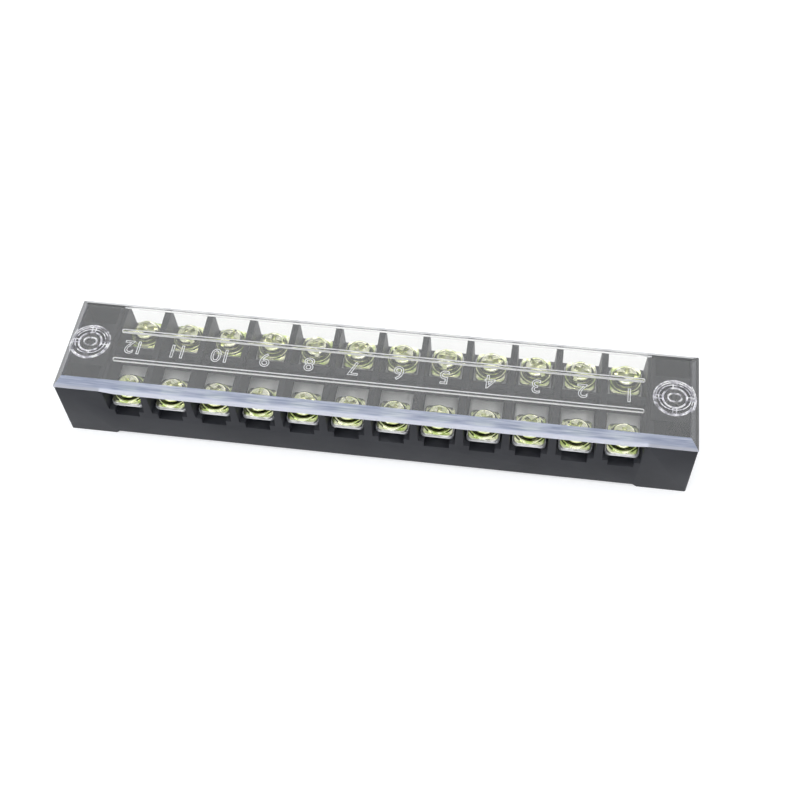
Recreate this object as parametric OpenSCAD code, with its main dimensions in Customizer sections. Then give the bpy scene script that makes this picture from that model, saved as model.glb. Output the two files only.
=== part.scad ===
// Barrier terminal strip: a moulded base with two rows of screw clamps,
// one contact strip across each position, and a clear cover that clips on.
// Millimetres. X runs along the strip, Y across it, Z up. The origin is the
// middle of the strip's length and width, at the underside of its feet.

/* [Strip] */
// Number of positions, each with a front and a back clamp
positions = 12; // [2:1:14]
// Distance between neighbouring positions
pitch = 9; // [8.6:0.1:11]
// Width of the strip, from front face to back face
strip_w = 22; // [21.4:0.2:26]
// Length of an end block, from the middle of the last barrier
end_l = 9.25; // [9.1:0.05:12]
// Height of the base's outer rim, on which the cover stands
rim_z = 14.8; // [14.4:0.1:17]
// Radius of the base's upright corners
corner_r = 0.4; // [0.2:0.1:1]

/* [Base] */
// Height of the feet under the end blocks
foot_h = 0.7; // [0.4:0.1:1.5]
// Distance from the last barrier's middle to the foot beside it
foot_inset = 0.5; // [0:0.1:2]
// How far that foot's inner end leans
foot_lean = 0.8; // [0:0.1:1.5]
// Height of the shoulders that carry the contact strips
seat_z = 8.65; // [7.8:0.05:9]
// Depth of the lead groove below the shoulders
groove_d = 1.6; // [1.3:0.05:2]
// Width of each shoulder, from barrier to groove
shoulder_w = 1.15; // [0.8:0.05:1.4]
// Web left between the two lead grooves of a position
groove_web = 3; // [1.8:0.2:4]
// Barrier thickness at the shoulders
barrier_t = 1.7; // [1.4:0.1:2]
// Barrier thickness at its top, thinner for the mould's draft
barrier_top_t = 1.3; // [1.2:0.05:1.6]
// Gap between the barriers' tops and the cover's hanging edges
barrier_gap = 0.1; // [0.05:0.05:0.5]
// Thickness of the wall along the middle
spine_t = 1.7; // [1.2:0.1:2.4]
// Height of the wall along the middle
spine_z = 13.7; // [12:0.1:14]
// Thickness of the end blocks' outer walls
rim_t = 1.25; // [1.1:0.05:1.5]
// Half the width of the boss round a mounting hole
boss_half_w = 5.25; // [4.8:0.05:5.6]
// Height of the boss round a mounting hole
boss_z = 15.1; // [14.9:0.1:15.4]
// Height of the pocket floors beside the bosses
pocket_z = 8; // [6:0.5:10]
// Thickness of the underside's skins and ribs where it is cored out
core_wall = 1.5; // [1.2:0.1:2]

/* [Mounting holes] */
// Distance from the last barrier's middle to the hole
hole_offset = 4.5; // [4.4:0.05:5]
// Diameter of a mounting hole
hole_d = 4.2; // [3.4:0.1:4.6]
// Diameter of the counterbore for the fixing screw's head
counterbore_d = 6.9; // [6.4:0.1:7.1]
// Height of the counterbore's floor
counterbore_z = 7.5; // [5:0.5:8]
// Diameter of the shallow ring round the counterbore's mouth
mouth_d = 8.2; // [7.8:0.1:8.6]
// Depth of that ring
mouth_depth = 0.3; // [0.2:0.1:0.6]

/* [Cover] */
// Height of the upright edge below the cover's bevel
lip_h = 0.3; // [0.2:0.05:0.6]
// Width and height of the cover's 45 degree bevel
bevel = 1.7; // [1.5:0.05:2]
// Thickness of the cover's flat top
cover_t = 1.2; // [1:0.05:1.3]
// Thickness of the cover's edge
skirt_t = 0.95; // [0.8:0.05:1]
// How far the long edges hang below the rim, between the end blocks
skirt_drop = 0.45; // [0.3:0.05:0.8]
// Length over which a hanging edge slopes up to the rim
skirt_slope_l = 3; // [1:0.5:5]
// Clearance between the cover and what it passes or closes over
cover_gap = 0.1; // [0.05:0.05:0.2]
// Distance from the middle to each marking rib under the cover's top
line_y = 3.6; // [3:0.05:4.5]
// Width of a marking rib
line_w = 0.7; // [0.5:0.1:1.2]
// Height of a marking rib
line_h = 0.4; // [0.2:0.05:0.5]
// Distance from the last barrier's middle to a rib's end
line_inset = 1.25; // [1:0.05:3]
// Length of the split plugs that hold the cover
plug_l = 4.5; // [3:0.5:6]
// Wall thickness of a plug
plug_t = 1.4; // [0.8:0.1:1.4]
// Width of the slit in a plug
slit_w = 0.6; // [0.5:0.1:1.2]

/* [Contacts] */
// Thickness of a contact strip
contact_t = 0.85; // [0.6:0.05:1]
// Gap between a contact strip and the barriers
contact_gap = 0.35; // [0.2:0.05:0.7]
// Distance from the strip's face to the end of a contact strip
contact_setback = 1.15; // [0.6:0.05:1.4]
// Corner radius of a contact strip
contact_r = 0.8; // [0.5:0.1:1.5]
// Depth of the drawn collar round a tapped hole
collar_h = 1.2; // [0.8:0.1:1.25]
// Wall thickness of that collar
collar_t = 0.6; // [0.4:0.1:0.7]
// Gap above a contact strip where it passes through the middle wall
slot_gap = 0.1; // [0.05:0.05:0.3]

/* [Clamps] */
// Distance from the strip's face to the clamp screws
screw_setback = 4.1; // [3.9:0.05:4.2]
// Diameter of the screws
screw_d = 2.9; // [2.5:0.1:3]
// Diameter of the screw heads
head_d = 5; // [4.8:0.1:5.2]
// Height of the screw heads
head_h = 2.1; // [1.8:0.1:2.6]
// Size of the rounding round the top of a head
head_round = 0.7; // [0.3:0.1:1.2]
// Length of a screw below its head
screw_l = 6.5; // [5.5:0.1:6.8]
// Running clearance, on the radius, round a screw
screw_gap = 0.05; // [0.03:0.01:0.1]
// Width of the driver slot
driver_slot_w = 0.9; // [0.6:0.1:1.1]
// Depth of the driver slot
driver_slot_d = 0.9; // [0.6:0.1:1.2]
// Length of the cross recess
cross_l = 3.2; // [2.6:0.1:3.6]
// Depth of the cross recess
cross_d = 1.5; // [1.2:0.1:1.7]
// Thickness of a clamp plate
clamp_t = 0.7; // [0.5:0.05:0.8]
// Length of a clamp plate, across the strip
clamp_l = 6.5; // [6:0.1:6.6]
// Gap between a clamp plate and the barriers
clamp_side_gap = 0.6; // [0.4:0.1:0.8]
// Corner radius of a clamp plate
clamp_r = 1.1; // [0.6:0.1:1.6]
// Height of the dished rim on a clamp plate
dish_h = 0.5; // [0.3:0.05:0.6]
// Width of the dished rim at its top
dish_t = 0.35; // [0.2:0.05:0.4]
// Space between the screw's head and the foot of the rim
dish_gap = 0.2; // [0.05:0.05:0.25]
// How far the rim leans outward
dish_lean = 0.15; // [0:0.05:0.3]
// Space left below a screw's tip
well_gap = 0.5; // [0.3:0.1:0.8]
// Radial space left round a screw in its well
well_side_gap = 0.5; // [0.3:0.1:0.6]

/* [Hidden] */
ROWS = ["front", "back"];

$fn = 48;
eps = 0.01;      // overlap that makes a cut run clean through a face
arc_step = 15;   // degrees between the points of a rounded corner

cells_l = positions * pitch;            // from the first barrier to the last
strip_l = cells_l + 2 * end_l;
cell_w = pitch - barrier_t;             // clear width of a cell
face_y = strip_w / 2;
hole_x = cells_l / 2 + hole_offset;
end_wall_x = cells_l / 2 + barrier_t / 2;
groove_z = seat_z - groove_d;
groove_w = cell_w - 2 * shoulder_w;

cover_edge_z = rim_z + lip_h;           // where the bevel starts
cover_top_z = cover_edge_z + bevel;
cover_under_z = cover_top_z - cover_t;
inner_y = face_y - skirt_t;             // inside of the cover's long edges
inner_x = strip_l / 2 - skirt_t;
skirt_z = rim_z - skirt_drop;
barrier_z = skirt_z - barrier_gap;

// How far the cover's inner bevel lies below the outer one, straight down
inner_drop = skirt_t * sqrt(2) - skirt_t;
inner_edge_z = cover_edge_z - inner_drop;

contact_w = cell_w - 2 * contact_gap;
contact_l = strip_w - 2 * contact_setback;
contact_top_z = seat_z + contact_t;
screw_y = face_y - screw_setback;
tap_r = screw_d / 2 + screw_gap;
clamp_w = cell_w - 2 * clamp_side_gap;
clamp_top_z = contact_top_z + clamp_t;
well_r = screw_d / 2 + well_side_gap;
well_z = clamp_top_z - screw_l - well_gap;
plug_r = counterbore_d / 2 - cover_gap;

function side(row) = row == "front" ? -1 : 1;
// Positions count from the right, as the numbers on the cover do.
function position_x(i) = ((positions + 1) / 2 - i) * pitch;
// Each screw stops at its own angle, as hand-tightened screws do.
function screw_angle(row, i) = (i * 67 + (row == "front" ? 20 : 110)) % 180;
function arc(cx, cy, r, from) =
    [for (a = [from:arc_step:from + 90]) [cx + r * cos(a), cy + r * sin(a)]];

// Rectangle with rounded corners, centred
module rounded_rect(l, w, r) {
    x = l / 2 - r;
    y = w / 2 - r;
    polygon(concat(arc(x, y, r, 0), arc(-x, y, r, 90), arc(-x, -y, r, 180), arc(x, -y, r, 270)));
}

// Outline drawn in Y and Z, run along X
module along_x(l) {
    rotate([90, 0, 90]) linear_extrude(l, center = true) children();
}

// Outline drawn in X and Z, run along Y
module along_y(l) {
    rotate([90, 0, 0]) linear_extrude(l, center = true) children();
}

// Symmetric roof outline: a box from low_z, with its top corners cut at 45 degrees
module roof(half, low_z, edge_z, top_z) {
    flat = half - (top_z - edge_z);
    polygon([[-half, low_z], [half, low_z], [half, edge_z], [flat, top_z], [-flat, top_z], [-half, edge_z]]);
}

module each_end() {
    for (s = [-1, 1]) scale([s, 1, 1]) translate([hole_x, 0, 0]) children();
}

// ---- Base ----

module barrier_profile() {
    polygon([
        [-barrier_t / 2, foot_h], [barrier_t / 2, foot_h], [barrier_t / 2, seat_z],
        [barrier_top_t / 2, barrier_z], [-barrier_top_t / 2, barrier_z], [-barrier_t / 2, seat_z]]);
}

module barriers() {
    for (i = [0:positions]) translate([i * pitch - cells_l / 2, 0, 0]) along_y(strip_w) barrier_profile();
}

// End block with its rim and its boss, whose top stays clear of the cover's bevel
module end_block() {
    block_l = strip_l / 2 - cells_l / 2;
    boss_l = strip_l / 2 - rim_t - cells_l / 2;
    boss_top_l = inner_x - (boss_z - inner_edge_z) - cover_gap - cells_l / 2;
    translate([cells_l / 2 - hole_x, 0, 0]) {
        intersection() {
            translate([-strip_l / 2 + block_l, 0, 0])
                linear_extrude(rim_z) rounded_rect(strip_l, strip_w, corner_r);
            translate([0, -strip_w, -1]) cube([block_l + 1, 2 * strip_w, rim_z + 2]);
        }
        translate([0, -boss_half_w, seat_z]) {
            cube([boss_l, 2 * boss_half_w, rim_z - seat_z]);
            cube([boss_top_l, 2 * boss_half_w, boss_z - seat_z]);
        }
    }
}

module end_block_cuts() {
    pocket_l = strip_l / 2 - rim_t - end_wall_x;
    pocket_w = face_y - rim_t - boss_half_w;
    core_l = pocket_l - 2 * eps;
    for (s = [-1, 1])
        translate([end_wall_x - hole_x, s * (boss_half_w + pocket_w / 2), 0]) {
            translate([0, -pocket_w / 2, pocket_z]) cube([pocket_l, pocket_w, rim_z]);
            translate([0, -pocket_w / 2, -1]) cube([core_l, pocket_w, pocket_z - core_wall + 1]);
        }
    translate([0, 0, -1]) cylinder(h = rim_z, d = hole_d);
    translate([0, 0, counterbore_z]) cylinder(h = rim_z, d = counterbore_d);
    translate([0, 0, boss_z - mouth_depth]) cylinder(h = rim_z, d = mouth_d);
}

// Lead grooves, wells for the screw tips, and the slot for the contact strip
module cell_cuts() {
    for (row = ROWS) {
        mid_y = side(row) * (face_y + 1 + groove_web / 2) / 2;
        groove_l = face_y + 1 - groove_web / 2;
        translate([0, mid_y, groove_z + barrier_z / 2]) cube([groove_w, groove_l, barrier_z], center = true);
        translate([0, side(row) * screw_y, well_z]) cylinder(h = seat_z, r = well_r);
    }
    slot_h = contact_t + slot_gap;
    translate([-cell_w / 2, -spine_t / 2 - 1, seat_z]) cube([cell_w, spine_t + 2, slot_h]);
}

// Core under one position, between its two wells
module underside_core() {
    core_l = pitch - core_wall;
    core_w = 2 * (screw_y - well_r - core_wall);
    core_h = groove_z - core_wall;
    translate([-core_l / 2, -core_w / 2, -1]) cube([core_l, core_w, core_h + 1]);
}

// Space between the feet, with leaning ends
module foot_space() {
    low = cells_l / 2 - foot_inset;
    high = low - foot_lean;
    polygon([[-low, -1], [low, -1], [low, 0], [high, foot_h], [-high, foot_h], [-low, 0]]);
}

module base() {
    color("#4a4c52") difference() {
        union() {
            linear_extrude(seat_z) square([cells_l, strip_w], center = true);
            barriers();
            translate([-cells_l / 2, -spine_t / 2, 0]) cube([cells_l, spine_t, spine_z]);
            each_end() end_block();
        }
        along_y(2 * strip_w) foot_space();
        for (i = [1:positions]) translate([position_x(i), 0, 0]) {
            cell_cuts();
            underside_core();
        }
        each_end() end_block_cuts();
    }
}

// ---- Contact strips ----

module contact_strip() {
    difference() {
        union() {
            translate([0, 0, seat_z]) linear_extrude(contact_t) rounded_rect(contact_w, contact_l, contact_r);
            for (row = ROWS) translate([0, side(row) * screw_y, seat_z - collar_h])
                cylinder(h = collar_h + contact_t / 2, r = tap_r + collar_t);
        }
        for (row = ROWS) translate([0, side(row) * screw_y, seat_z - collar_h - 1])
            cylinder(h = collar_h + contact_t + 2, r = tap_r);
    }
}

module contact_strips() {
    color("#d8d8da") for (i = [1:positions]) translate([position_x(i), 0, 0]) contact_strip();
}

// ---- Cover ----

module cover_solid(half_x, half_y, low_z, edge_z, top_z) {
    intersection() {
        along_x(2 * strip_l) roof(half_y, low_z, edge_z, top_z);
        along_y(2 * strip_w) roof(half_x, low_z, edge_z, top_z);
    }
}

// The part of a long edge that hangs below the rim between the end blocks
module hanging_edge() {
    half = cells_l / 2 - cover_gap;
    translate([0, face_y - skirt_t / 2, 0]) along_y(skirt_t)
        polygon([
            [-half, rim_z + eps], [-half, rim_z], [-half + skirt_slope_l, skirt_z],
            [half - skirt_slope_l, skirt_z], [half, rim_z], [half, rim_z + eps]]);
}

// Rib under the cover's top, between the position numbers and a row of clamps
module marking_rib() {
    end_x = cells_l / 2 - line_inset - line_w / 2;
    translate([0, line_y, cover_under_z - line_h]) linear_extrude(line_h + eps) {
        square([2 * end_x, line_w], center = true);
        for (s = [-1, 1]) translate([s * end_x, 0]) circle(d = line_w);
    }
}

// Hollow split plug that grips in the counterbore
module split_plug() {
    low_z = cover_under_z - plug_l;
    difference() {
        translate([0, 0, low_z]) cylinder(h = plug_l + eps, r = plug_r);
        translate([0, 0, low_z - 1]) cylinder(h = plug_l + 1, r = plug_r - plug_t);
        translate([-slit_w / 2, -plug_r - 1, low_z - 1]) cube([slit_w, 2 * plug_r + 2, plug_l + 1]);
    }
}

module cover() {
    color("#cfe4ee", 0.35) {
        difference() {
            union() {
                cover_solid(strip_l / 2, face_y, rim_z, cover_edge_z, cover_top_z);
                for (s = [-1, 1]) scale([1, s, 1]) hanging_edge();
            }
            cover_solid(inner_x, inner_y, rim_z - 1, inner_edge_z, cover_under_z);
        }
        for (s = [-1, 1]) scale([1, s, 1]) marking_rib();
        each_end() split_plug();
    }
}

// ---- Clamps ----

// Square clamp plate with a dished rim round the screw's head
module clamp_plate() {
    foot_r = head_d / 2 + dish_gap;
    top_r = foot_r + dish_lean;
    rim_r = top_r + dish_t;
    color("#dfe3a6") difference() {
        translate([0, 0, contact_top_z]) union() {
            linear_extrude(clamp_t) rounded_rect(clamp_w, clamp_l, clamp_r);
            rotate_extrude() polygon([
                [tap_r, 0], [rim_r, 0], [rim_r, clamp_t + dish_h],
                [top_r, clamp_t + dish_h], [foot_r, clamp_t], [tap_r, clamp_t]]);
        }
        translate([0, 0, seat_z]) cylinder(h = rim_z, r = tap_r);
    }
}

// Pan head with a slot and a cross recess, on a plain shank
module clamp_screw() {
    head_r = head_d / 2;
    shank_r = screw_d / 2;
    tip_z = clamp_top_z - screw_l;
    head_top_z = clamp_top_z + head_h;
    chamfer = shank_r / 3;
    dome = arc(head_r - head_round, head_top_z - head_round, head_round, 0);
    color("#dfe3a6") difference() {
        rotate_extrude() polygon(concat(
            [[0, tip_z], [shank_r - chamfer, tip_z], [shank_r, tip_z + chamfer],
             [shank_r, clamp_top_z], [head_r, clamp_top_z]],
            dome, [[0, head_top_z]]));
        translate([-head_d, -driver_slot_w / 2, head_top_z - driver_slot_d])
            cube([2 * head_d, driver_slot_w, head_h]);
        for (turn = [0, 90]) rotate(turn)
            translate([-cross_l / 2, -driver_slot_w / 2, head_top_z - cross_d])
                cube([cross_l, driver_slot_w, head_h]);
    }
}

// Moves a clamp's part to its row and position
module at_clamp(row, i) {
    translate([position_x(i), side(row) * screw_y, 0]) children();
}

base();
contact_strips();
cover();
for (row = ROWS, i = [1:positions]) {
    at_clamp(row, i) clamp_plate();
    at_clamp(row, i) rotate(screw_angle(row, i)) clamp_screw();
}
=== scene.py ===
# %% [markdown]
# # A barrier terminal strip, dressed in Blender
# The strip is a moulded black base with two rows of screw clamps under a clear
# cover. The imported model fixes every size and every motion, so this script
# changes no dimension: it gives each piece the rounded edges, markings and
# finishes that the real product has. Lengths are in metres, as in the frame.

# %% The frame
import math
import bpy
import bmesh
from mathutils import Matrix, Vector


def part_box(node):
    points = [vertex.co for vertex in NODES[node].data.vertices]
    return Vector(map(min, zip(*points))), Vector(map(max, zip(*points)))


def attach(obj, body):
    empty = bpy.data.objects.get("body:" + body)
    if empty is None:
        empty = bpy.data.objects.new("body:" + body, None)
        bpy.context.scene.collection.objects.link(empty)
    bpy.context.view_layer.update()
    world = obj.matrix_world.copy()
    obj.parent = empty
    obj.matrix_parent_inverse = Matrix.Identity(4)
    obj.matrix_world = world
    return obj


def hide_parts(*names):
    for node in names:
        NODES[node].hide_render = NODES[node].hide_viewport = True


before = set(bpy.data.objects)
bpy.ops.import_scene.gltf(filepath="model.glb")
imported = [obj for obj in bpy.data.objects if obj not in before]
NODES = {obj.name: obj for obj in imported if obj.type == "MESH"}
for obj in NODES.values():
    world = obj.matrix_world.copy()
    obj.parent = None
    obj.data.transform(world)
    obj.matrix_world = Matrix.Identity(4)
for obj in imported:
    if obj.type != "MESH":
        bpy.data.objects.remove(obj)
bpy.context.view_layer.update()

MM = 0.001
SCENE = bpy.context.scene

# %% [markdown]
# ## Camera
# The strip is seen from above and in front, a little from its right, with the
# camera rolled by under two degrees. A lens of about 54 mm on a 36 mm sensor
# keeps the perspective gentle, so the far row looks nearly as large as the near
# one.

# %% The camera
CAMERA_PLACE = Vector((0.02985, -0.13607, 0.20747))
CAMERA_TURN = [math.radians(a) for a in (34.451, 1.706, 7.998)]
CAMERA_LENS = 53.83
SENSOR_WIDTH = 36
CLIP_START = 10 * MM

camera_data = bpy.data.cameras.new("catalogue camera")
camera_data.lens = CAMERA_LENS
camera_data.sensor_width = SENSOR_WIDTH
camera_data.clip_start = CLIP_START
camera = bpy.data.objects.new("catalogue camera", camera_data)
camera.location = CAMERA_PLACE
camera.rotation_euler = CAMERA_TURN
SCENE.collection.objects.link(camera)
SCENE.camera = camera
print("camera at", [round(c, 4) for c in camera.location])

# %% [markdown]
# ## Helpers for node trees
# Materials, the sky and Geometry Nodes are all trees of nodes joined by links.
# A few small helpers keep each tree as short as its idea. A socket whose name
# has a space is written with an underscore, as in Fill_Caps=True.

# %% Nodes and links


def wire(tree, *links):
    """Joins pairs of sockets, each socket given as (node, name)."""
    for (source, output), (target, socket) in links:
        tree.links.new(source.outputs[output], target.inputs[socket])


def fixed(node, **values):
    """Sets plain values on a node's own inputs."""
    for socket, value in values.items():
        node.inputs[socket.replace("_", " ")].default_value = value


def add(tree, kind, **values):
    """A new node of this kind, with some of its inputs set."""
    node = tree.nodes.new(kind)
    fixed(node, **values)
    return node


def math_node(tree, operation, first=None, second=None):
    """A Math node, with its first or second number set where it is given."""
    node = tree.nodes.new("ShaderNodeMath")
    node.operation = operation
    for place, value in enumerate((first, second)):
        if value is not None:
            node.inputs[place].default_value = value
    return node


print("node helpers are ready")

# %% [markdown]
# ## The sky
# A bright, even sky gives the soft light in which small hardware is shown. It
# is greyer at the horizon than overhead, so that upright metal faces, which
# mirror the horizon, come out darker than flat ones.

# %% A sky that fades from the horizon up
HORIZON_COLOUR = (0.40, 0.42, 0.46, 1)
ZENITH_COLOUR = (0.92, 0.95, 1.0, 1)
FULL_ZENITH = 0.75
SKY_STRENGTH = 1.0

world = bpy.data.worlds.new("studio sky")
SCENE.world = world
world.use_nodes = True
sky_tree = world.node_tree
sky = sky_tree.nodes["Background"]
fixed(sky, Strength=SKY_STRENGTH)
direction = add(sky_tree, "ShaderNodeTexCoord")
height = add(sky_tree, "ShaderNodeSeparateXYZ")
fade = add(sky_tree, "ShaderNodeValToRGB")
fade.color_ramp.elements[0].color = HORIZON_COLOUR
fade.color_ramp.elements[1].position = FULL_ZENITH
fade.color_ramp.elements[1].color = ZENITH_COLOUR
wire(
    sky_tree,
    ((direction, "Generated"), (height, "Vector")),
    ((height, "Z"), (fade, "Fac")),
    ((fade, "Color"), (sky, "Color")))
print("made", world.name)

# %% [markdown]
# ## Panels
# Metal has no colour of its own until it has something to reflect, and clear
# plastic shows mostly by what it mirrors. So four panels add what an even sky
# can't: light from above, a lit far side, a cool light on the left end, and a
# thin strip in front that the clamps and the frosted bevel pick up.

# %% The four panels
WHITE = (1.0, 1.0, 1.0)
COOL_WHITE = (0.86, 0.93, 1.0)
# Name, place, the point it faces, width and height, watts, colour
PANELS = [
    ("top panel", (0.02, -0.05, 0.60), (0, 0, 0), (0.45, 0.20), 0.9, WHITE),
    ("back panel", (0.1, 0.60, 0.40), (0, 0, 0.01), (0.7, 0.25), 0.9, WHITE),
    ("left panel", (-0.30, -0.24, 0.15), (-0.03, 0, 0.01), (0.2, 0.2), 0.22, COOL_WHITE),
    ("front strip light", (0.0, -0.60, 0.24), (0, 0, 0.01), (0.9, 0.06), 0.45, WHITE)]


def panel(name, place, aim, size, power, colour):
    """A soft rectangular light at place, facing aim."""
    data = bpy.data.lights.new(name, "AREA")
    data.shape = "RECTANGLE"
    data.size, data.size_y = size
    data.energy = power
    data.color = colour
    lamp = bpy.data.objects.new(name, data)
    lamp.location = place
    lamp.rotation_euler = (Vector(aim) - Vector(place)).to_track_quat("-Z", "Y").to_euler()
    SCENE.collection.objects.link(lamp)


for panel_values in PANELS:
    panel(*panel_values)
print("panels:", len(PANELS))

# %% [markdown]
# ## Table
# The strip stands on a plain white table. A little emission lifts the table to
# a clean white without brighter lights, which would wash out the clear cover.
# It lies a hair below the feet, so that the two never share a plane.

# %% The table
TABLE_HALF = 3.0
TABLE_DROP = 0.05 * MM
TABLE_COLOUR = (0.6, 0.6, 0.6, 1)
TABLE_GLOW = 0.52

table_mesh = bpy.data.meshes.new("table")
table_mesh.from_pydata(
    [(x * TABLE_HALF, y * TABLE_HALF, 0) for x, y in ((-1, -1), (1, -1), (1, 1), (-1, 1))],
    [], [(0, 1, 2, 3)])
table = bpy.data.objects.new("table", table_mesh)
table.location.z = -TABLE_DROP
SCENE.collection.objects.link(table)
table_look = bpy.data.materials.new("white table")
table_look.use_nodes = True
fixed(
    table_look.node_tree.nodes["Principled BSDF"],
    Base_Color=TABLE_COLOUR, Roughness=0.9,
    Emission_Color=(1, 1, 1, 1), Emission_Strength=TABLE_GLOW)
table_mesh.materials.append(table_look)

SCENE.view_settings.view_transform = "Standard"
SCENE.view_settings.look = "None"
print("table is", 2 * TABLE_HALF, "m square")

# %% [markdown]
# ## Shader groups
# Two effects come back in several finishes: a fine uneven grain, and a slow
# drift from one place to another. Each is a small node group with named inputs,
# built once. A group gives out only a mask, and each material decides for itself
# what its mask does.

# %% The two groups


def noise_group(name, inputs, detail):
    """A group with these number inputs and a noise in it, in spots of a given Size."""
    group = bpy.data.node_groups.new(name, "ShaderNodeTree")
    group.interface.new_socket("Vector", in_out="INPUT", socket_type="NodeSocketVector")
    for socket, value in inputs.items():
        made = group.interface.new_socket(
            socket, in_out="INPUT", socket_type="NodeSocketFloat")
        made.default_value = value
    group.interface.new_socket("Mask", in_out="OUTPUT", socket_type="NodeSocketFloat")
    given, result = add(group, "NodeGroupInput"), add(group, "NodeGroupOutput")
    per_metre = math_node(group, "DIVIDE", first=1)
    noise = add(group, "ShaderNodeTexNoise", Detail=detail)
    wire(
        group,
        ((given, "Size"), (per_metre, 1)),
        ((given, "Vector"), (noise, "Vector")),
        ((per_metre, "Value"), (noise, "Scale")))
    return group, given, noise, result


grain_group, given, noise, result = noise_group(
    "fine grain", {"Size": 0.2 * MM, "Unevenness": 0.5}, detail=3)
wire(
    grain_group,
    ((given, "Unevenness"), (noise, "Roughness")),
    ((noise, "Fac"), (result, "Mask")))

drift_group, given, noise, result = noise_group(
    "slow drift", {"Size": 8 * MM, "Low": 0.35, "High": 0.65}, detail=2)
spread = add(drift_group, "ShaderNodeMapRange")
wire(
    drift_group,
    ((noise, "Fac"), (spread, "Value")),
    ((given, "Low"), (spread, "From Min")),
    ((given, "High"), (spread, "From Max")),
    ((spread, "Result"), (result, "Mask")))
print("groups:", grain_group.name, "and", drift_group.name)

# %% [markdown]
# ## Helpers for materials
# Every finish starts from a Principled BSDF and Object coordinates. Masks turn
# into colours, numbers or a bump that change over the surface, and a value that
# is the same all over is set on the shader itself.

# %% Masks, colours and numbers


def new_look(name):
    """A material, its tree, its Principled BSDF and its Texture Coordinate node."""
    look = bpy.data.materials.new(name)
    look.use_nodes = True
    tree = look.node_tree
    return look, tree, tree.nodes["Principled BSDF"], add(tree, "ShaderNodeTexCoord")


def mask(tree, group, coords, squeeze=(1, 1, 1), **values):
    """A group's mask on Object coordinates; squeeze under 1 draws it out along an axis."""
    node = add(tree, "ShaderNodeGroup")
    node.node_tree = group
    fixed(node, **values)
    mapping = add(tree, "ShaderNodeMapping", Scale=squeeze)
    wire(
        tree,
        ((coords, "Object"), (mapping, "Vector")),
        ((mapping, "Vector"), (node, "Vector")))
    return node.outputs["Mask"]


def height_mask(tree, coords, zero_z, one_z):
    """A mask that goes from 0 at one height on the object to 1 at another."""
    split = add(tree, "ShaderNodeSeparateXYZ")
    span = add(tree, "ShaderNodeMapRange", From_Min=zero_z, From_Max=one_z)
    wire(
        tree,
        ((coords, "Object"), (split, "Vector")),
        ((split, "Z"), (span, "Value")))
    return span.outputs["Result"]


def blended(tree, amount, low, high):
    """A colour that goes from low to high with a mask; both may be sockets."""
    mix = tree.nodes.new("ShaderNodeMix")
    mix.data_type = "RGBA"
    tree.links.new(amount, mix.inputs["Factor"])
    for name, colour in (("A", low), ("B", high)):
        if isinstance(colour, bpy.types.NodeSocket):
            tree.links.new(colour, mix.inputs[name])
        else:
            mix.inputs[name].default_value = colour
    return mix.outputs["Result"]


def spread_value(tree, amount, low, high):
    """A number that goes from low to high with a mask."""
    span = add(tree, "ShaderNodeMapRange", To_Min=low, To_Max=high)
    tree.links.new(amount, span.inputs["Value"])
    return span.outputs["Result"]


def feed(tree, bsdf, **sources):
    """Joins sockets to the shader's inputs."""
    for socket, source in sources.items():
        tree.links.new(source, bsdf.inputs[socket.replace("_", " ")])


def relief(tree, amount, bsdf, height, strength):
    """A bump from a mask, height in metres."""
    bump = add(tree, "ShaderNodeBump", Distance=height, Strength=strength)
    tree.links.new(amount, bump.inputs["Height"])
    wire(tree, ((bump, "Normal"), (bsdf, "Normal")))


print("material helpers are ready")

# %% [markdown]
# ## The base's plastic
# The base is a glass-filled thermoset or nylon: nearly black, with the faint
# satin of an eroded mould. A grain of a tenth of a millimetre breaks up its
# gloss, and a slow drift makes it a little greyer in places, as dust and flow
# marks do.

# %% Black moulded plastic
DEEP_BLACK = (0.014, 0.015, 0.019, 1)
DUSTY_BLACK = (0.024, 0.025, 0.030, 1)

base_look, tree, bsdf, coords = new_look("black moulded plastic")
grain = mask(tree, grain_group, coords, Size=0.12 * MM, Unevenness=0.6)
drift = mask(tree, drift_group, coords, Size=9 * MM, Low=0.3, High=0.7)
feed(
    tree, bsdf,
    Base_Color=blended(tree, drift, DEEP_BLACK, DUSTY_BLACK),
    Roughness=spread_value(tree, grain, 0.36, 0.54))
relief(tree, grain, bsdf, height=0.006 * MM, strength=0.6)
fixed(bsdf, Specular_IOR_Level=0.23)
print("made", base_look.name)

# %% [markdown]
# ## Plated metal
# The contact strips are nickel plated. The clamps and screws carry the pale
# yellow-green film of passivated zinc, whose colour wanders from lime to straw
# within one plate, because the film's thickness does. All are metal shaders
# whose colour and roughness follow the masks. A clamp's sheared rim is duller
# and greyer than its pressed faces, so it has a finish of its own.

# %% Nickel and passivated zinc
NICKEL = ((0.93, 0.94, 0.95, 1), (1.0, 1.0, 1.0, 1))
LIME_TO_STRAW = ((0.52, 0.62, 0.22, 1), (0.98, 0.98, 0.70, 1))
PALE_STRAW = ((0.74, 0.79, 0.44, 1), (1.0, 0.99, 0.80, 1))
SHEARED_STEEL = ((0.42, 0.42, 0.38, 1), (0.80, 0.80, 0.76, 1))


def plated_look(name, colours, drift_size, roughness, metallic=1.0):
    """A plated metal whose colour drifts between two tints."""
    look, tree, bsdf, coords = new_look(name)
    drift = mask(tree, drift_group, coords, Size=drift_size, Low=0.38, High=0.62)
    grain = mask(tree, grain_group, coords, Size=0.25 * MM, Unevenness=0.5)
    feed(
        tree, bsdf,
        Base_Color=blended(tree, drift, *colours),
        Roughness=spread_value(tree, grain, *roughness))
    relief(tree, grain, bsdf, height=0.01 * MM, strength=0.35)
    fixed(bsdf, Metallic=metallic)
    return look


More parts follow.
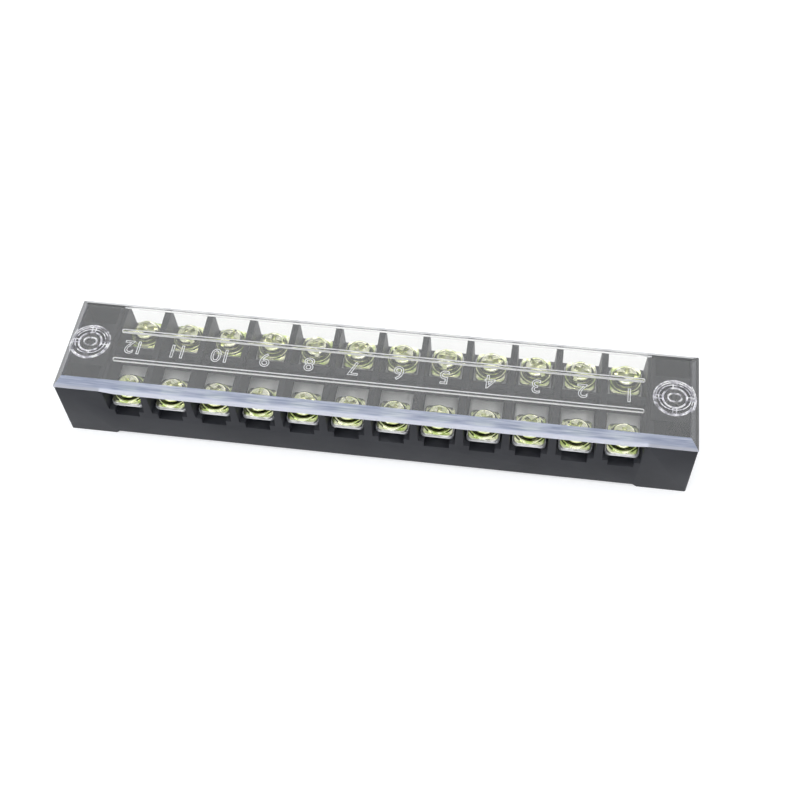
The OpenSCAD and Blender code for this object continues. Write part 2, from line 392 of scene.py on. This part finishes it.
nickel_look = plated_look("nickel plate", NICKEL, 5 * MM, (0.5, 0.66))
plate_look = plated_look("zinc plate on clamps", LIME_TO_STRAW, 1.6 * MM, (0.08, 0.2))
screw_look = plated_look("zinc plate on screws", PALE_STRAW, 1.3 * MM, (0.07, 0.2))
rim_look = plated_look(
    "sheared rim of a clamp", SHEARED_STEEL, 1.2 * MM, (0.3, 0.45), metallic=0.85)
print("made", nickel_look.name, plate_look.name, screw_look.name, rim_look.name)

# %% [markdown]
# ## Painted shade low on the screws
# Shade in the crevice round a head's foot and deep in its recess is painted. All
# heads sit at one height, so height on the object tells the foot from the crown:
# the plating's colour is kept above, and a painted dark olive shade takes over below.

# %% A painted shade at the foot of the heads
HEAD_H = 2.1 * MM
DARK_BELOW = 0.55 * MM
UNSHADED_ABOVE = 1.05 * MM
CREVICE_SHADE_COLOUR = (0.05, 0.055, 0.02, 1)

tree = screw_look.node_tree
bsdf = tree.nodes["Principled BSDF"]
plating = bsdf.inputs["Base Color"].links[0].from_socket
head_foot_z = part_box("clamp_screw_front_1")[1].z - HEAD_H
unshaded = height_mask(
    tree, tree.nodes["Texture Coordinate"],
    zero_z=head_foot_z + DARK_BELOW, one_z=head_foot_z + UNSHADED_ABOVE)
# Painted shade: dark olive below, fading into the plating's own colour above
feed(tree, bsdf, Base_Color=blended(tree, unshaded, CREVICE_SHADE_COLOUR, plating))
print("recesses darken below", round(head_foot_z + UNSHADED_ABOVE, 5))

# %% [markdown]
# ## Clear plastic
# The cover is one moulding with several finishes. Its flat top, its back bevel
# and its plugs are polished and clear: full transmission with the refraction of
# acrylic, a trace of haze that comes and goes, and a warm grey tint from the
# thickness of the plastic.

# %% Polished clear plastic
ACRYLIC_IOR = 1.49

clear_look, tree, bsdf, coords = new_look("clear plastic")
haze = mask(tree, grain_group, coords, Size=2.5 * MM, Unevenness=0.3)
feed(tree, bsdf, Roughness=spread_value(tree, haze, 0.0, 0.06))
fixed(
    bsdf, Base_Color=(0.88, 0.873, 0.845, 1), Transmission_Weight=0.935, IOR=ACRYLIC_IOR)
print("made", clear_look.name)

# %% [markdown]
# ## Frosted plastic
# The front bevel and the lip below it come frosted from the mould. Their blue
# grey is streaked along the strip, as polishing marks are, so the masks are
# drawn out along X. Towards the lip the plastic gathers light and turns paler,
# which a mask by height gives.

# %% Frosted plastic, paler at its lip
BEVEL = 1.7 * MM
TOP_T = 1.2 * MM
LIP_BAND = 0.45 * MM
FROST_BLUE = (0.33, 0.38, 0.53, 1)
FROST_PALE = (0.70, 0.73, 0.85, 1)
LIP_COLOUR = (0.68, 0.69, 0.77, 1)

cover_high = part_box("cover")[1]
LIP_Z = cover_high.z - BEVEL
UNDER_Z = cover_high.z - TOP_T

frost_look, tree, bsdf, coords = new_look("frosted plastic")
grain = mask(
    tree, grain_group, coords, squeeze=(0.05, 1, 1), Size=0.5 * MM, Unevenness=0.6)
streaks = mask(
    tree, drift_group, coords, squeeze=(0.06, 1, 1), Size=0.32 * MM, Low=0.3, High=0.7)
near_lip = height_mask(tree, coords, zero_z=LIP_Z + LIP_BAND, one_z=LIP_Z + LIP_BAND / 2)
frost_colour = blended(tree, streaks, FROST_BLUE, FROST_PALE)
feed(
    tree, bsdf,
    Base_Color=blended(tree, near_lip, frost_colour, LIP_COLOUR),
    Roughness=spread_value(tree, grain, 0.4, 0.62))
relief(tree, grain, bsdf, height=0.03 * MM, strength=0.6)
fixed(bsdf, Transmission_Weight=0.45, IOR=ACRYLIC_IOR)
print("made", frost_look.name)

# %% [markdown]
# ## Edges seen in and through the cover
# A clear moulding's edges read as lines. Some are dim, where they bend light
# away: those get a grey that lets a part of what lies behind through. Others
# gather light and shine: those are near white and glow a little. Round the
# plugs the bright lines are broken into glints, so there a mask fades them.

# %% Shaded, bright and glinting edges
shade_look, tree, bsdf, coords = new_look("shaded clear plastic")
grain = mask(tree, grain_group, coords, Size=0.8 * MM, Unevenness=0.5)
feed(
    tree, bsdf,
    Base_Color=blended(tree, grain, (0.14, 0.14, 0.16, 1), (0.30, 0.30, 0.34, 1)))
fixed(bsdf, Alpha=0.6, Roughness=0.35)

edge_look, tree, bsdf, coords = new_look("bright moulded edge")
grain = mask(tree, grain_group, coords, Size=0.6 * MM, Unevenness=0.6)
feed(
    tree, bsdf,
    Base_Color=blended(tree, grain, (0.88, 0.89, 0.94, 1), (1.0, 1.0, 1.0, 1)),
    Roughness=spread_value(tree, grain, 0.25, 0.45))
fixed(bsdf, Emission_Color=(1, 1, 1, 1), Emission_Strength=0.25)

plug_look, tree, bsdf, coords = new_look("bright plug edge")
glints = mask(tree, drift_group, coords, Size=1.3 * MM, Low=0.38, High=0.6)
feed(
    tree, bsdf,
    Base_Color=blended(tree, glints, (0.60, 0.58, 0.74, 1), (1.0, 1.0, 1.0, 1)),
    Alpha=spread_value(tree, glints, 0.1, 1.0))
fixed(bsdf, Roughness=0.3, Emission_Color=(0.95, 0.93, 1.0, 1), Emission_Strength=0.3)
print("made", shade_look.name, edge_look.name, plug_look.name)

# %% [markdown]
# ## Rounded edges on the mouldings
# No moulded or pressed edge is truly sharp, and the thin line of light along it
# is what makes a piece look real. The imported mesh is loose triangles, so a copy
# is merged, its flat faces are joined up again, and a Bevel modifier rounds the
# edges. The copy replaces the node, which stays in the physics model.

# %% A rounded copy of a node
MERGE_DISTANCE = 0.002 * MM
FLAT_WITHIN = math.radians(0.5)


def linked(name, mesh):
    """A new object for a mesh, in the scene."""
    piece = bpy.data.objects.new(name, mesh)
    SCENE.collection.objects.link(piece)
    return piece


def merged_copy(node, name):
    """A copy of a node's mesh with its doubles merged and its flat faces whole."""
    mesh = NODES[node].data.copy()
    mesh.name = name
    mesh.materials.clear()
    bm = bmesh.new()
    bm.from_mesh(mesh)
    bmesh.ops.remove_doubles(bm, verts=bm.verts, dist=MERGE_DISTANCE)
    bmesh.ops.dissolve_limit(bm, angle_limit=FLAT_WITHIN, verts=bm.verts, edges=bm.edges)
    bm.to_mesh(mesh)
    bm.free()
    return linked(name, mesh)


def applied(piece):
    """Turns a piece's modifiers into plain mesh."""
    graph = bpy.context.evaluated_depsgraph_get()
    mesh = bpy.data.meshes.new_from_object(piece.evaluated_get(graph))
    piece.modifiers.clear()
    old = piece.data
    piece.data = mesh
    bpy.data.meshes.remove(old)


def rounded(piece, width, segments=2, angle=35):
    """Rounds a piece's sharp edges and smooths what is left."""
    bevel = piece.modifiers.new("rounded edges", "BEVEL")
    bevel.width = width
    bevel.segments = segments
    bevel.limit_method = "ANGLE"
    bevel.angle_limit = math.radians(angle)
    bevel.use_clamp_overlap = True
    applied(piece)
    piece.data.shade_smooth()
    piece.data.set_sharp_from_angle(angle=math.radians(angle))
    return piece


def finish_piece(piece, body, slot, *nodes):
    """Puts a piece on its body and hides the nodes it stands for; its slot is not used."""
    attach(piece, body)
    if nodes:
        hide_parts(*nodes)
    print(piece.name, "has", len(piece.data.polygons), "faces")


print("flat faces are those within", round(math.degrees(FLAT_WITHIN), 3), "degrees")

# %% [markdown]
# ## The base and the contact strips
# The base is one moulding and the strips are stamped from sheet. Both have their
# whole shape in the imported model, so they need only rounded edges, a little
# tighter on the metal than on the plastic, and their finishes.

# %% The base and the strips
base = rounded(merged_copy("base", "moulded_base"), 0.12 * MM)
base.data.materials.append(base_look)
finish_piece(base, "base", "base_plastic", "base")

strips = rounded(merged_copy("contact_strips", "plated_contact_strips"), 0.1 * MM)
strips.data.materials.append(nickel_look)
finish_piece(strips, "base", "contact_nickel", "contact_strips")

# %% [markdown]
# ## The cover
# The cover keeps its crisp edges, because a bevel along every edge of a clear
# shell would draw a second, false line beside each. Its faces are sorted by
# where they lie and how they face. A long bevel slopes at 45 degrees outside,
# the lip is the narrow upright band below it, the hanging edges end in a narrow
# underside, and the marking ribs are low walls just under the top.

# %% The cover, its finishes, and its painted highlights and shade
CLEAR, FROSTED, BRIGHT, SHADED = range(4)
SLOPE_LEAST, SLOPE_MOST = 0.6, 0.8  # the upward share of a bevel's normal
FACING = 0.9  # a normal's share along an axis that its face looks along
LIP_REACH = 0.1 * MM
HANGING_T = 1.2 * MM
RIB_H = 0.4 * MM
RIB_FIELD_X, RIB_FIELD_Y = 53 * MM, 6 * MM


def cover_finish(normal, centre):
    """The finish of a face of the cover, or its painted highlight (BRIGHT) or painted shade
    (SHADED).
    """
    front_bevel = SLOPE_LEAST < normal.z < SLOPE_MOST and normal.y < -0.5
    front_lip = normal.y < -FACING and centre.y < LIP_REACH - cover_high.y
    if front_bevel or front_lip:
        return FROSTED
    if SLOPE_LEAST < -normal.z < SLOPE_MOST and abs(normal.x) > 0.5:
        return SHADED
    # The hanging edges' undersides: a painted highlight at the front, painted shade at the back
    if normal.z < -FACING and centre.z < LIP_Z and abs(centre.y) > cover_high.y - HANGING_T:
        return BRIGHT if centre.y < 0 else SHADED
    in_rib_field = abs(centre.x) < RIB_FIELD_X and abs(centre.y) < RIB_FIELD_Y
    if abs(normal.z) < 0.1 and UNDER_Z - RIB_H < centre.z < UNDER_Z and in_rib_field:
        return BRIGHT
    return CLEAR


cover = merged_copy("cover", "clear_cover")
for look in (clear_look, frost_look, edge_look, shade_look):
    cover.data.materials.append(look)
counts = [0, 0, 0, 0]
for face in cover.data.polygons:
    face.material_index = cover_finish(face.normal, face.center)
    counts[face.material_index] += 1
print("cover faces clear, frosted, bright, shaded:", counts)
finish_piece(cover, "cover", "cover_clear", "cover")

# %% [markdown]
# ## Position numbers
# The mould marks the positions with thin raised outlines of the numbers under
# the cover's top. Each number is a text curve without a fill, whose bevel turns
# its outline into a fine bead. They read from the back of the strip.

# %% The numbers
POSITIONS = 12
NUMBER_H = 3.1 * MM
HEIGHT_OF_SIZE = 0.7  # a numeral's height as a share of its font size
NUMBER_SPACING = 0.9
NUMBER_Y = -0.25 * MM
NUMBER_SHIFT = 0.3 * MM
NUMBER_BEAD = 0.09 * MM


def joined(meshes, name, look):
    """One piece from several meshes, all in one finish."""
    bm = bmesh.new()
    for mesh in meshes:
        bm.from_mesh(mesh)
        bpy.data.meshes.remove(mesh)
    whole = bpy.data.meshes.new(name)
    bm.to_mesh(whole)
    bm.free()
    whole.materials.append(look)
    return linked(name, whole)


def number_mesh(i):
    """The beaded outline of a position's number, in its place."""
    text = bpy.data.curves.new(f"number {i}", "FONT")
    text.body = str(i)
    text.size = NUMBER_H / HEIGHT_OF_SIZE
    text.space_character = NUMBER_SPACING
    text.align_x, text.align_y = "CENTER", "CENTER"
    text.fill_mode = "NONE"
    text.bevel_depth = NUMBER_BEAD
    text.bevel_resolution = 1
    text.resolution_u = 6
    holder = linked(text.name, text)
    graph = bpy.context.evaluated_depsgraph_get()
    mesh = bpy.data.meshes.new_from_object(holder.evaluated_get(graph))
    bpy.data.objects.remove(holder)
    low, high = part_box(f"clamp_screw_front_{i}")
    place = Vector(((low.x + high.x) / 2 + NUMBER_SHIFT, NUMBER_Y, UNDER_Z))
    mesh.transform(Matrix.Translation(place) @ Matrix.Rotation(math.pi, 4, "Z"))
    return mesh


# The outlines take the glowing bright-edge look: a painted highlight on the raised numbers
numbers = joined(
    [number_mesh(i) for i in range(1, POSITIONS + 1)], "position_numbers", edge_look)
finish_piece(numbers, "cover", "cover_clear")

# %% [markdown]
# ## A tree for bright beads
# The edges of the marking ribs and of the split plugs catch the light as fine
# bright lines. Each line follows an outline: a long slot, a circle or an oval.
# So one Geometry Nodes tree draws them all, as a rectangle with its corners
# rounded as far as its narrow side lets them go, swept by a small circle.

# %% Helpers for geometry trees


def new_tree(name, sockets):
    """A geometry tree with named inputs, given as name: (socket type, default)."""
    group = bpy.data.node_groups.new(name, "GeometryNodeTree")
    group.interface.new_socket(
        "Geometry", in_out="INPUT", socket_type="NodeSocketGeometry")
    for socket, (kind, value) in sockets.items():
        made = group.interface.new_socket(socket, in_out="INPUT", socket_type=kind)
        if value is not None:
            made.default_value = value
    group.interface.new_socket(
        "Geometry", in_out="OUTPUT", socket_type="NodeSocketGeometry")
    return group, add(group, "NodeGroupInput"), add(group, "NodeGroupOutput")


def place_and_finish(tree, given, shape, result):
    """Ends a tree: turns and moves a shape, makes it real and gives it its finish."""
    move = add(tree, "GeometryNodeTransform")
    realize = add(tree, "GeometryNodeRealizeInstances")
    finish = add(tree, "GeometryNodeSetMaterial")
    if "Turn" in given.outputs:
        wire(tree, ((given, "Turn"), (move, "Rotation")))
    wire(
        tree,
        (shape, (move, "Geometry")),
        ((given, "Place"), (move, "Translation")),
        ((move, "Geometry"), (realize, "Geometry")),
        ((realize, "Geometry"), (finish, "Geometry")),
        ((given, "Finish"), (finish, "Material")),
        ((finish, "Geometry"), (result, "Geometry")))


def run_tree(name, group, mesh, **values):
    """Runs a tree on a mesh and keeps the result as a plain mesh object."""
    piece = linked(name, mesh.copy())
    modifier = piece.modifiers.new(name, "NODES")
    modifier.node_group = group
    for item in group.interface.items_tree:
        key = item.name.replace(" ", "_")
        if item.in_out == "INPUT" and key in values:
            modifier[item.identifier] = values[key]
    applied(piece)
    piece.data.name = name
    return piece


print("helpers for geometry trees are ready")

# %% The bead tree
JUST_UNDER_HALF = 0.4999
CORNER_POINTS = 10
BEAD_SIDES = 8

bead_tree, given, result = new_tree("bead round an outline", {
    "Length": ("NodeSocketFloat", 10 * MM), "Width": ("NodeSocketFloat", 1 * MM),
    "Bead radius": ("NodeSocketFloat", 0.1 * MM), "Place": ("NodeSocketVector", (0, 0, 0)),
    "Finish": ("NodeSocketMaterial", None)})
outline = add(bead_tree, "GeometryNodeCurvePrimitiveQuadrilateral")
narrow_side = math_node(bead_tree, "MINIMUM")
corner_radius = math_node(bead_tree, "MULTIPLY", second=JUST_UNDER_HALF)
corners = add(bead_tree, "GeometryNodeFilletCurve")
corners.mode = "POLY"
fixed(corners, Count=CORNER_POINTS)
section = add(bead_tree, "GeometryNodeCurvePrimitiveCircle", Resolution=BEAD_SIDES)
sweep = add(bead_tree, "GeometryNodeCurveToMesh")
wire(
    bead_tree,
    ((given, "Length"), (outline, "Width")),
    ((given, "Width"), (outline, "Height")),
    ((given, "Length"), (narrow_side, 0)),
    ((given, "Width"), (narrow_side, 1)),
    ((narrow_side, "Value"), (corner_radius, 0)),
    ((outline, "Curve"), (corners, "Curve")),
    ((corner_radius, "Value"), (corners, "Radius")),
    ((given, "Bead radius"), (section, "Radius")),
    ((corners, "Curve"), (sweep, "Curve")),
    ((section, "Curve"), (sweep, "Profile Curve")))
place_and_finish(bead_tree, given, (sweep, "Mesh"), result)
print("tree", bead_tree.name, "has", len(bead_tree.nodes), "nodes")

# %% [markdown]
# ## The ribs' lines and the plugs' glints
# Each marking rib gets one long bead round its foot. A split plug shows through
# the top as a nest of rings, one for each round edge of its wall and of the
# counterbore below it, crossed by the four ends of its slits. The rings are a
# little off centre and out of round, as refraction draws them, and all the beads
# of a plug are joined into one piece.

# %% The beads
RIB_Y = 3.6 * MM
RIB_W = 0.7 * MM
RIB_L = 2 * (54 - 1.25) * MM
RIB_BEAD = 0.08 * MM
HOLE_X = 58.5 * MM
GLINT_Z = UNDER_Z - 0.05 * MM
# Radius, depth as a share of width, bead radius, shift to the back; in mm
PLUG_RINGS = [
    (4.05, 1.0, 0.16, 0), (3.7, 1.0, 0.14, -0.1), (3.1, 0.94, 0.12, 0.1),
    (2.3, 1.0, 0.20, 0), (1.3, 0.7, 0.18, 0.1)]
SLIT_REACH = 3.2 * MM
SLIT_LONG, SLIT_WIDE = 1.9 * MM, 0.75 * MM
SLIT_BEAD = 0.1 * MM
nothing = bpy.data.meshes.new("empty start")


def beads(name, outlines, look):
    """A piece of beads, each given as (length, width, bead radius, place)."""
    meshes = []
    for k, (length, width, bead, place) in enumerate(outlines):
        loop = run_tree(
            f"{name} {k}", bead_tree, nothing,
            Length=length, Width=width, Bead_radius=bead, Place=place, Finish=look)
        meshes.append(loop.data)
        bpy.data.objects.remove(loop)
    piece = joined(meshes, name, look)
    piece.data.shade_smooth()
    finish_piece(piece, "cover", "cover_clear")


for side, y in (("front", -RIB_Y), ("back", RIB_Y)):
    beads(
        f"marking_bead_{side}", [(RIB_L, RIB_W, RIB_BEAD, (0, y, UNDER_Z - RIB_H))],
        edge_look)
for side, x in (("left", -HOLE_X), ("right", HOLE_X)):
    rings = [
        (2 * radius * MM, 2 * radius * MM * share, bead * MM, (x, shift * MM, GLINT_Z))
        for radius, share, bead, shift in PLUG_RINGS]
    slits = [
        (SLIT_WIDE, SLIT_LONG, SLIT_BEAD, (x, turn * SLIT_REACH, GLINT_Z))
        for turn in (-1, 1)]
    slits += [
        (SLIT_LONG, SLIT_WIDE, SLIT_BEAD, (x + turn * SLIT_REACH, 0, GLINT_Z))
        for turn in (-1, 1)]
    beads(f"plug_glints_{side}", rings + slits, plug_look)

# %% [markdown]
# ## Clamp screws
# A cold-headed screw starts as a turned blank: here a profile spun round Z, with
# the slot and the cross recess cut by Boolean modifiers and their rims rounded.
# The blank is made once. A Geometry Nodes tree then winds the thread on it from a
# spiral, turns it to its own angle and sets it in its place, so twenty-four
# screws come from one description.

# %% A profile spun round Z
HEAD_R = 2.5 * MM
HEAD_ROUND = 0.7 * MM
HEAD_CHAMFER = 0.1 * MM
ROOT_R = 1.2 * MM
TIP_CHAMFER = 0.35 * MM
SCREW_L = 6.5 * MM
STEPS_ROUND = 48
ARC_STEP = 15
SPIN_MERGE = 0.0005 * MM


def spun(profile, name):
    """A closed solid from (radius, height) points spun round Z."""
    bm = bmesh.new()
    points = [bm.verts.new((r, 0, z)) for r, z in profile]
    edges = [bm.edges.new(pair) for pair in zip(points, points[1:])]
    bmesh.ops.spin(
        bm, geom=points + edges, cent=(0, 0, 0), axis=(0, 0, 1),
        angle=2 * math.pi, steps=STEPS_ROUND)
    bmesh.ops.remove_doubles(bm, verts=bm.verts, dist=SPIN_MERGE)
    bmesh.ops.recalc_face_normals(bm, faces=bm.faces)
    mesh = bpy.data.meshes.new(name)
    bm.to_mesh(mesh)
    bm.free()
    return linked(name, mesh)


crown = [
    (HEAD_R - HEAD_ROUND + HEAD_ROUND * math.cos(a), HEAD_H - HEAD_ROUND + HEAD_ROUND * math.sin(a))
    for a in [math.radians(step) for step in range(0, 91, ARC_STEP)]]
blank = spun(
    [(0, -SCREW_L), (ROOT_R - TIP_CHAMFER, -SCREW_L), (ROOT_R, -SCREW_L + TIP_CHAMFER),
     (ROOT_R, 0), (HEAD_R - HEAD_CHAMFER, 0), (HEAD_R, HEAD_CHAMFER)]
    + crown + [(0, HEAD_H)], "screw blank")
print("turned blank has", len(blank.data.polygons), "faces")

# %% The slot and the cross recess
SLOT_W = 0.9 * MM
SLOT_D = 0.7 * MM
CROSS_L = 3.2 * MM
CROSS_D = 1.25 * MM


def cutter(name, size):
    """A box of this size round the middle of the head's top."""
    bm = bmesh.new()
    bmesh.ops.create_cube(bm, size=1)
    mesh = bpy.data.meshes.new(name)
    bm.to_mesh(mesh)
    bm.free()
    mesh.transform(Matrix.Translation((0, 0, HEAD_H)) @ Matrix.Diagonal((*size, 1)))
    return linked(name, mesh)


cutters = [
    cutter("driver slot", (3 * HEAD_R, SLOT_W, 2 * SLOT_D)),
    cutter("cross bar", (CROSS_L, SLOT_W, 2 * CROSS_D)),
    cutter("cross bar turned", (SLOT_W, CROSS_L, 2 * CROSS_D))]
for box in cutters:
    cut = blank.modifiers.new(box.name, "BOOLEAN")
    cut.operation = "DIFFERENCE"
    cut.solver = "EXACT"
    cut.object = box
rounded(blank, 0.1 * MM, segments=2, angle=30)
for box in cutters:
    bpy.data.objects.remove(box)
print("blank has", len(blank.data.polygons), "faces")

# %% A tree that threads, turns and places it
CREST_R = 1.45 * MM
RIDGE = 0.12 * MM
THREAD_PITCH = 0.5 * MM
THREAD_L = 5.6 * MM
POINTS_PER_TURN = 14
RIDGE_SIDES = 4

screw_tree, given, result = new_tree("threaded screw", {
    "Crest radius": ("NodeSocketFloat", CREST_R), "Ridge": ("NodeSocketFloat", RIDGE),
    "Thread pitch": ("NodeSocketFloat", THREAD_PITCH),
    "Thread length": ("NodeSocketFloat", THREAD_L),
    "Turn": ("NodeSocketVector", (0, 0, 0)), "Place": ("NodeSocketVector", (0, 0, 0)),
    "Finish": ("NodeSocketMaterial", None)})
thread_turns = math_node(screw_tree, "DIVIDE")
ridge_middle = math_node(screw_tree, "SUBTRACT")
spiral = add(screw_tree, "GeometryNodeCurveSpiral", Resolution=POINTS_PER_TURN)
ridge = add(screw_tree, "GeometryNodeCurvePrimitiveCircle", Resolution=RIDGE_SIDES)
sweep = add(screw_tree, "GeometryNodeCurveToMesh", Fill_Caps=True)
downwards = math_node(screw_tree, "MULTIPLY", second=-1)
foot = add(screw_tree, "ShaderNodeCombineXYZ")
lower = add(screw_tree, "GeometryNodeTransform")
join = add(screw_tree, "GeometryNodeJoinGeometry")
wire(
    screw_tree,
    ((given, "Thread length"), (thread_turns, 0)),
    ((given, "Thread pitch"), (thread_turns, 1)),
    ((given, "Crest radius"), (ridge_middle, 0)),
    ((given, "Ridge"), (ridge_middle, 1)),
    ((thread_turns, "Value"), (spiral, "Rotations")),
    ((ridge_middle, "Value"), (spiral, "Start Radius")),
    ((ridge_middle, "Value"), (spiral, "End Radius")),
    ((given, "Thread length"), (spiral, "Height")),
    ((given, "Ridge"), (ridge, "Radius")),
    ((spiral, "Curve"), (sweep, "Curve")),
    ((ridge, "Curve"), (sweep, "Profile Curve")),
    ((given, "Thread length"), (downwards, 0)),
    ((downwards, "Value"), (foot, "Z")),
    ((sweep, "Mesh"), (lower, "Geometry")),
    ((foot, "Vector"), (lower, "Translation")),
    ((given, "Geometry"), (join, "Geometry")),
    ((lower, "Geometry"), (join, "Geometry")))
place_and_finish(screw_tree, given, (join, "Geometry"), result)
print("tree", screw_tree.name, "has", len(screw_tree.nodes), "nodes")

# %% The twenty-four screws
# Hand-tightened screws stop at their own angles: each row's first, then steps
FIRST_ANGLE = {"front": 20, "back": 110}
ANGLE_STEP = 67

for row, first in FIRST_ANGLE.items():
    for i in range(1, POSITIONS + 1):
        node = f"clamp_screw_{row}_{i}"
        low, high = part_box(node)
        place = ((low.x + high.x) / 2, (low.y + high.y) / 2, high.z - HEAD_H)
        turn = math.radians((i * ANGLE_STEP + first) % 180)
        screw = run_tree(
            f"zinc_screw_{row}_{i}", screw_tree, blank.data,
            Crest_radius=CREST_R, Ridge=RIDGE, Thread_pitch=THREAD_PITCH,
            Thread_length=THREAD_L, Turn=(0.0, 0.0, turn), Place=place, Finish=screw_look)
        finish_piece(screw, node, "screw_zinc", node)
bpy.data.objects.remove(blank)

# %% [markdown]
# ## Clamp plates
# Each plate is pressed from sheet: a rounded square with a dished ring that
# keeps the screw's head central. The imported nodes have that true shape, so a
# rounded copy of each is enough. The faces round the sheet's edge, which look
# away from the screw, take the sheared finish.

# %% The twenty-four clamp plates
PLATE_T = 0.7 * MM
LEVEL = 0.95

for row in FIRST_ANGLE:
    for i in range(1, POSITIONS + 1):
        node = f"clamp_plate_{row}_{i}"
        plate = rounded(
            merged_copy(node, f"zinc_plate_{row}_{i}"), 0.2 * MM, segments=3, angle=30)
        plate.data.materials.append(plate_look)
        plate.data.materials.append(rim_look)
        low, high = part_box(node)
        middle = (low + high) / 2
        for face in plate.data.polygons:
            outward = (face.center - middle).xy.dot(face.normal.xy) > 0
            if outward and abs(face.normal.z) < LEVEL and face.center.z < low.z + PLATE_T:
                face.material_index = 1
        finish_piece(plate, node, "clamp_zinc", node)
